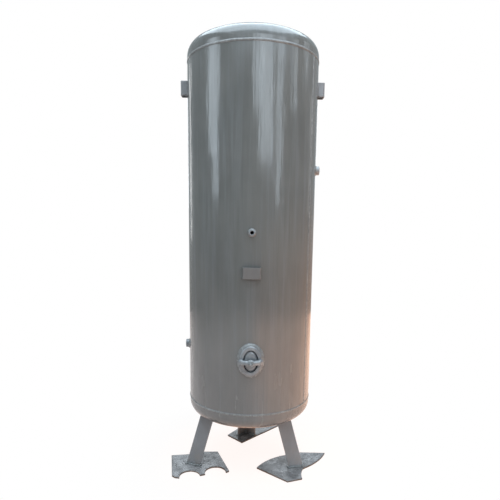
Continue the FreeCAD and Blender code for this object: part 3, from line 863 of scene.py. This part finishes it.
def tank_paint():
    """Glossy grey enamel: painted light and dark reflection streaks, cloudy mottling, orange peel,
    lighter, warmer and rougher low down.
    """
    f = Finish("tank_enamel")
    cloud = f.remap(f.noise((4, 4, 3), 4), 0.3, 0.7)
    colour = f.blend(cloud, rgb(0.098, 0.101, 0.097), rgb(0.125, 0.127, 0.121))
    # painted reflection: light bluish vertical streaks stand in for the sky's reflection in the gloss
    painted_reflection_streak = f.remap(f.noise((34, 34, 1.6), 4, 0.6), 0.42, 0.72)
    colour = f.blend(f.times(painted_reflection_streak, 0.36), colour, rgb(0.160, 0.172, 0.178))
    # painted reflection: darker vertical streaks stand in for the dark reflections between the light ones
    painted_dark_reflection_streak = f.remap(f.noise((70, 70, 2.6), 3, 0.6), 0.5, 0.75)
    colour = f.blend(f.times(painted_dark_reflection_streak, 0.25), colour, rgb(0.075, 0.083, 0.078))
    # lighter, warmer and rougher towards the bottom, in noisy patches
    low = f.remap(f.height(), 1.25, 0.35)
    lower_warm_tint = f.times(low, f.remap(f.noise((9, 9, 3.5), 5, 0.6), 0.3, 0.8, 0.35, 1.0))
    colour = f.blend(f.times(lower_warm_tint, 0.5), colour, rgb(0.185, 0.165, 0.158))
    rough = f.sum(f.remap(f.noise((28, 28, 4), 4), 0.3, 0.7, 0.13, 0.2), f.times(lower_warm_tint, 0.12))
    peel = f.bump(f.noise((330, 330, 330), 2), 0.04 * MM)
    runs = f.bump(f.noise((120, 120, 2.4), 3, 0.55), 0.55 * MM, peel)
    rolled = f.bump(f.noise((30, 30, 5), 3), 1.7 * MM, runs)
    return f.done(colour, rough, rolled, coat=0.35)


def weld_paint():
    f = Finish("weld_enamel")
    patch = f.remap(f.noise((60, 60, 60), 4), 0.35, 0.7)
    colour = f.blend(patch, rgb(0.145, 0.149, 0.148), rgb(0.215, 0.219, 0.216))
    rough = f.remap(f.noise((150, 150, 150), 3), 0.3, 0.7, 0.18, 0.3)
    grain = f.bump(f.noise((900, 900, 900), 3), 0.08 * MM)
    return f.done(colour, rough, grain, coat=0.3)


def fitting_paint(name, grain, low, high):
    f = Finish(name)
    patch = f.remap(f.noise((30, 30, 30), 4), 0.35, 0.7)
    colour = f.blend(patch, rgb(0.158, 0.168, 0.178), rgb(0.222, 0.232, 0.240))
    rough = f.remap(f.noise((90, 90, 90), 3), 0.3, 0.7, low, high)
    cast = f.bump(f.noise((260, 260, 260), 4, 0.6), grain)
    return f.done(colour, rough, cast, coat=0.7)


def bracket_paint(name, dark, light):
    f = Finish(name)
    patch = f.remap(f.noise((11, 11, 7), 5), 0.3, 0.7)
    colour = f.blend(patch, dark, light)
    low = f.remap(f.height(), 0.16, 0.0)
    soil = f.times(low, f.remap(f.noise((40, 40, 25), 4), 0.35, 0.65))
    colour = f.blend(f.times(soil, 0.45), colour, rgb(0.19, 0.165, 0.14))
    rough = f.remap(f.noise((50, 50, 30), 4), 0.3, 0.7, 0.3, 0.45)
    scale = f.bump(f.noise((120, 120, 60), 4, 0.6), 0.15 * MM)
    return f.done(colour, rough, scale, coat=0.12)


def foot_plate_paint():
    """Thin paint over mill scale, stained, with heat-browned flame-cut edges."""
    f = Finish("plate_scale_and_paint")
    patch = f.remap(f.noise((14, 14, 14), 6, 0.62, 0.8), 0.36, 0.64)
    colour = f.blend(patch, rgb(0.115, 0.109, 0.108), rgb(0.235, 0.225, 0.223))
    stain = f.remap(f.noise((26, 60, 40), 5, 0.65, 1.2), 0.53, 0.72)
    colour = f.blend(f.times(stain, 0.8), colour, rgb(0.075, 0.075, 0.08))
    rust = f.remap(f.noise((45, 45, 45), 5, 0.6), 0.6, 0.75)
    colour = f.blend(f.times(rust, 0.35), colour, rgb(0.16, 0.105, 0.07))
    edge = f.remap(f.upright(), 0.8, 0.45)
    heat = f.remap(f.noise((220, 220, 30), 3), 0.35, 0.65)
    burnt = f.blend(heat, rgb(0.045, 0.03, 0.022), rgb(0.12, 0.075, 0.045))
    colour = f.blend(edge, colour, burnt)
    rough = f.sum(f.remap(f.noise((35, 35, 35), 5), 0.3, 0.7, 0.2, 0.42), f.times(edge, 0.25))
    pits = f.bump(f.noise((170, 170, 170), 4, 0.6), 0.25 * MM)
    drag = f.bump(f.noise((420, 420, 18), 2), 0.25 * MM, pits)
    return f.done(colour, rough, drag, coat=0.1)


def fastener_paint():
    f = Finish("fastener_enamel")
    patch = f.remap(f.noise((120, 120, 120), 4), 0.35, 0.7)
    colour = f.blend(patch, rgb(0.14, 0.148, 0.15), rgb(0.21, 0.215, 0.215))
    chip = f.remap(f.noise((260, 260, 260), 4, 0.6), 0.6, 0.66)
    colour = f.blend(chip, colour, rgb(0.42, 0.42, 0.41))
    rough = f.remap(f.noise((200, 200, 200), 3), 0.3, 0.7, 0.2, 0.34)
    grain = f.bump(f.noise((1100, 1100, 1100), 3), 0.04 * MM)
    return f.done(colour, rough, grain, coat=0.15, metallic=chip)


def gasket_rubber():
    f = Finish("nitrile_rubber")
    bloom = f.remap(f.noise((80, 80, 80), 4), 0.3, 0.7)
    colour = f.blend(bloom, rgb(0.014, 0.014, 0.014), rgb(0.035, 0.034, 0.033))
    rough = f.remap(f.noise((240, 240, 240), 2), 0.3, 0.7, 0.55, 0.75)
    return f.done(colour, rough, f.bump(f.noise((1500, 1500, 1500), 2), 0.05 * MM))


# ---------------------------------------------------------------- the tank's pieces
def build():
    enamel, weld = tank_paint(), weld_paint()
    fitting = fitting_paint("fitting_enamel", 0.16 * MM, 0.17, 0.3)
    smooth = fitting_paint("machined_enamel", 0.03 * MM, 0.1, 0.17)
    steel = bracket_paint("structure_enamel", rgb(0.168, 0.170, 0.176), rgb(0.205, 0.206, 0.212))
    # painted reflection: the bracket's grey is tinted warm brown for the ground's reflection on its face
    bracket_warm_reflection_paint = bracket_paint("bracket_enamel_painted_reflection", rgb(0.120, 0.116, 0.113), rgb(0.142, 0.137, 0.133))
    plate, fastener, rubber = foot_plate_paint(), fastener_paint(), gasket_rubber()

    place(shell(), "vessel", "shell_paint", enamel, "shell")
    heads = (("top", TOP_WELD_Z, 1, "relief"), ("bottom", BOTTOM_WELD_Z, -1, "drain"))
    for name, weld_z, side, port in heads:
        made = head("dished_head_" + name, weld_z, side, port + "_coupling")
        place(made, "vessel", "shell_paint", enamel, name + "_head")
        bead = girth_weld("girth_bead_" + name, weld_z)
        place(bead, "vessel", "weld_paint", weld, name + "_girth_weld", sharp=70)
    place(seam_weld("seam_bead"), "vessel", "weld_paint", weld, "long_seam_weld", sharp=70)

    front, right, crosswise = Vector((0, -1, 0)), Vector((1, 0, 0)), Vector((0, 1, 0))
    crown_top = apex(TOP_WELD_Z, 1) - CROWN_RADIUS
    crown_bottom = -apex(BOTTOM_WELD_Z, -1) - CROWN_RADIUS
    ports = (
        # name, direction, bore radius, thread depth, thread pitch, fillet's side and up axes, wall
        ("gauge", front, 7.48, 0.86, 1.337, right, UP, on_shell),
        ("outlet", right, 15.15, 1.48, 2.309, crosswise, UP, on_shell),
        ("inlet", -right, 15.15, 1.48, 2.309, crosswise, UP, on_shell),
        ("relief", UP, 12.06, 1.16, 1.814, right, crosswise, on_crown(crown_top)),
        ("drain", -UP, 9.32, 1.16, 1.814, right, crosswise, on_crown(crown_bottom)),
    )
    for name, direction, bore, depth, pitch, side, up, wall_at in ports:
        node = name + "_coupling"
        made = coupling("port_" + name, node, direction, bore * MM, depth * MM, pitch * MM)
        place(made, "vessel", "fitting_paint", fitting, node)
        outside = (highest(node) - lowest(node)).dot(up if up is UP else right) / 2
        origin = UP * middle(node).z if up is UP else Vector()
        axes = (origin, side, up, direction)
        bead = fillet_weld("port_bead_" + name, (outside, outside), PORT_WELD_LEG, axes, wall_at)
        place(bead, "vessel", "weld_paint", weld, node + "_weld", sharp=70)

    place(handhole_ring(), "vessel", "fitting_paint", smooth, "handhole_ring")
    axes = (UP * HANDHOLE.z, right, UP, front)
    bead = fillet_weld("handhole_ring_bead", RING_OUTER, RING_WELD_LEG, axes, on_shell, 6.5 * MM)
    place(bead, "vessel", "weld_paint", weld, "handhole_ring_weld", sharp=70)

    place(bracket("rating_plate_bracket"), "vessel", "bracket_paint", bracket_warm_reflection_paint, "nameplate_bracket")
    bead = organic("nameplate_bracket_welds", 0.6 * MM, 0.35 * MM, 3.0)
    place(bead, "vessel", "shell_paint", enamel, "nameplate_bracket_welds", sharp=180)
    for name in ("left", "right"):
        node = "lifting_lug_" + name
        place(lug("bent_lug_" + name, node), "vessel", "bracket_paint", steel, node)
        bead = organic(node + "_welds", 0.8 * MM, 0.8 * MM, 5.0)
        place(bead, "vessel", "weld_paint", weld, node + "_welds", sharp=180)

    head_tree = surface_of("bottom_head")
    for seed, name in enumerate(("left", "right", "rear")):
        node = "leg_" + name
        place(leg("angle_leg_" + name, node, head_tree), "vessel", "bracket_paint", steel, node)
        for end in ("_head_weld", "_foot_weld"):
            bead = organic(node + end, 1.0 * MM, 1.1 * MM, 2.0 * seed)
            place(bead, "vessel", "weld_paint", weld, node + end, sharp=180)
        made = foot_plate("cut_plate_" + name, "foot_plate_" + name, node + "_foot_weld", 11 + seed)
        place(made, "vessel", "foot_plate_paint", plate, "foot_plate_" + name, sharp=180)
        drops = spatter("weld_spatter_" + name, node, "foot_plate_" + name, 40 + seed, 70)
        place(drops, "vessel", "foot_plate_paint", plate, sharp=180)

    body = "handhole_cover_assembly"
    place(handhole_cover(), body, "fitting_paint", smooth, "handhole_cover")
    place(handhole_gasket(), body, "gasket_rubber", rubber, "handhole_gasket")
    place(stud("handhole_threaded_stud"), body, "fastener_paint", fastener, "handhole_stud")
    bead = organic("handhole_stud_weld", 0.5 * MM, 0.3 * MM, 8.0)
    place(bead, body, "weld_paint", weld, "handhole_stud_weld", sharp=180)
    body = "handhole_yoke_assembly"
    place(yoke("handhole_forged_yoke"), body, "fitting_paint", fitting, "handhole_yoke", sharp=50)
    place(washer("handhole_plain_washer"), body, "fastener_paint", fastener, "handhole_washer")
    body = "handhole_nut_body"
    place(nut("handhole_hex_nut"), body, "fastener_paint", fastener, "handhole_nut", sharp=25)


# ---------------------------------------------------------------- studio
def softbox(name, azimuth, elevation, wide, high, distance, radiance, colour, target):
    """Rectangular light that faces the tank; its size is given in degrees."""
    data = bpy.data.lights.new(name, "AREA")
    data.shape = "RECTANGLE"
    data.size = 2 * distance * math.tan(math.radians(wide / 2))
    data.size_y = 2 * distance * math.tan(math.radians(high / 2))
    data.energy = radiance * math.pi * data.size * data.size_y
    data.color = colour
    lamp = bpy.data.objects.new(name, data)
    bpy.context.scene.collection.objects.link(lamp)
    a, e = math.radians(azimuth), math.radians(elevation)
    away = outward(a) * math.cos(e) + UP * math.sin(e)
    lamp.location = UP * target + away * distance
    lamp.rotation_euler = away.to_track_quat("Z", "Y").to_euler()
    lamp.visible_camera = False
    return lamp


COOL, WHITE = (0.78, 0.90, 1.0), (1.0, 1.0, 1.0)
BLUE, OPEN, PALE = (0.70, 0.86, 1.0), (0.76, 0.89, 1.0), (0.85, 0.93, 1.0)
LIGHTS = (
    # name, azimuth, elevation, width and height in degrees, distance, radiance, colour, aimed height
    ("key_left", -68.5, 21.6, 19, 19.2, 4.0, 4.0, COOL, 1.2),
    ("key_left_low", -64, 8.8, 11, 8.5, 4.0, 3.6, COOL, 1.2),
    ("key_right", 21.5, 20.8, 20, 20.4, 4.0, 4.0, COOL, 1.2),
    ("wedge_right", 7, 25, 12, 12, 4.0, 3.4, COOL, 1.2),
    ("strip_near", 44.5, 16.7, 9, 26.7, 4.0, 3.4, COOL, 1.2),
    ("strip_middle", 72.5, 25, 5, 12, 4.0, 3.2, COOL, 1.2),
    ("strip_far", 98, 29.5, 6, 12, 4.0, 2.0, COOL, 1.2),
    ("rim_left", -137, 12, 7, 30, 4.0, 1.7, WHITE, 1.2),
    ("rim_right", 122, 12, 6, 20, 4.0, 0.7, WHITE, 1.2),
    ("sky", 15, 58, 80, 44, 3.6, 1.0, BLUE, 0.8),
    ("overhead", 0, 88, 62, 62, 3.2, 4.0, OPEN, 0.8),
    ("back", 180, 27, 32, 20, 4.0, 2.4, PALE, 0.2),
)


def studio():
    for row in LIGHTS:
        softbox(*row)

    world = bpy.data.worlds.new("studio")
    bpy.context.scene.world = world
    world.use_nodes = True
    tree = world.node_tree
    tree.nodes.clear()
    out = tree.nodes.new("ShaderNodeOutputWorld")
    seen = tree.nodes.new("ShaderNodeBackground")
    seen.inputs[0].default_value = rgb(1, 1, 1)
    lit = tree.nodes.new("ShaderNodeBackground")
    lit.inputs[1].default_value = 0.5
    way = tree.nodes.new("ShaderNodeSeparateXYZ")
    tree.links.new(tree.nodes.new("ShaderNodeTexCoord").outputs["Generated"], way.inputs[0])

    def shift(value, low, high, a, b):
        share = tree.nodes.new("ShaderNodeMapRange")
        share.inputs[1].default_value = low
        share.inputs[2].default_value = high
        tree.links.new(value, share.inputs[0])
        mix = tree.nodes.new("ShaderNodeMix")
        mix.data_type = "RGBA"
        tree.links.new(share.outputs[0], mix.inputs[0])
        for socket, colour in ((mix.inputs[6], a), (mix.inputs[7], b)):
            if isinstance(colour, bpy.types.NodeSocket):
                tree.links.new(colour, socket)
            else:
                socket.default_value = colour
        return mix.outputs[2]

    ground = shift(way.outputs[0], 0.0, 0.9, rgb(0.62, 0.62, 0.61), rgb(1.22, 0.74, 0.50))
    sky = shift(way.outputs[2], -0.14, 0.08, ground, rgb(0.68, 0.76, 0.80))
    tree.links.new(sky, lit.inputs[0])
    path = tree.nodes.new("ShaderNodeLightPath")
    pick = tree.nodes.new("ShaderNodeMixShader")
    tree.links.new(path.outputs["Is Camera Ray"], pick.inputs[0])
    tree.links.new(lit.outputs[0], pick.inputs[1])
    tree.links.new(seen.outputs[0], pick.inputs[2])
    tree.links.new(pick.outputs[0], out.inputs[0])

    radii = (0.001, 0.7, 1.4, 2.4, 4.0)
    count = 96
    points = [outward(TURN * i / count) * r for r in radii for i in range(count)]
    faces = []
    for a in range(0, (len(radii) - 1) * count, count):
        for i in range(count):
            k = (i + 1) % count
            faces.append((a + i, a + k, a + count + k, a + count + i))
    floor = new_object("studio_floor", points, faces)
    f = Finish("pale_floor")
    distance = f.node("ShaderNodeVectorMath", {0: f.place}, operation="LENGTH").outputs["Value"]
    seen = f.node("ShaderNodeLightPath", {}).outputs["Is Camera Ray"]
    fade = f.times(seen, f.remap(distance, 0.2, 0.8, 0.84, 1.0))
    # painted light: for all rays but the camera's the floor is browner and glows warm, more towards +X and
    # under the tank, as a warm ground bounce and reflection
    sunny = f.remap(f.node("ShaderNodeSeparateXYZ", {0: f.place}).outputs[0], -0.3, 1.3)
    f.put(f.surface.inputs["Base Color"], f.blend(sunny, rgb(0.62, 0.56, 0.53), rgb(0.86, 0.56, 0.41)))
    f.put(f.surface.inputs["Emission Color"], rgb(1.0, 0.52, 0.31))
    warm_glow_under_tank = f.remap(distance, 0.6, 0.15, 0.0, 0.6)
    f.put(f.surface.inputs["Emission Strength"], f.sum(f.remap(sunny, 0.0, 1.0, 0.15, 0.8), warm_glow_under_tank))
    f.put(f.surface.inputs["Roughness"], 0.8)
    glow = f.node("ShaderNodeEmission", {0: rgb(1, 1, 1), 1: 1.0}).outputs[0]
    mixed = f.node("ShaderNodeMixShader", {0: fade, 1: f.surface.outputs[0], 2: glow}).outputs[0]
    f.put(f.tree.nodes["Material Output"].inputs[0], mixed)
    floor.data.materials.append(f.material)
    bpy.context.scene.view_settings.view_transform = "Standard"


EYE_DISTANCE, EYE_HEIGHT = 2.205, 1.174
YAW, PITCH, ROLL = math.radians(-0.7), math.radians(90 - 8.79), math.radians(0.63)


def camera():
    """Standing eye, 2.2 m from the tank's axis, that looks down a little."""
    data = bpy.data.cameras.new("camera")
    data.sensor_width = 36.0
    data.lens = 32.34
    data.shift_x = -0.001
    data.shift_y = 0.09
    made = bpy.data.objects.new("camera", data)
    bpy.context.scene.collection.objects.link(made)
    stand = Matrix.Translation((EYE_DISTANCE * math.sin(YAW), -EYE_DISTANCE * math.cos(YAW), EYE_HEIGHT))
    pan = Matrix.Rotation(YAW, 4, "Z")
    pitch = Matrix.Rotation(PITCH, 4, "X")
    roll = Matrix.Rotation(ROLL, 4, "Z")
    made.matrix_world = stand @ pan @ pitch @ roll
    bpy.context.scene.camera = made


build()
studio()
camera()
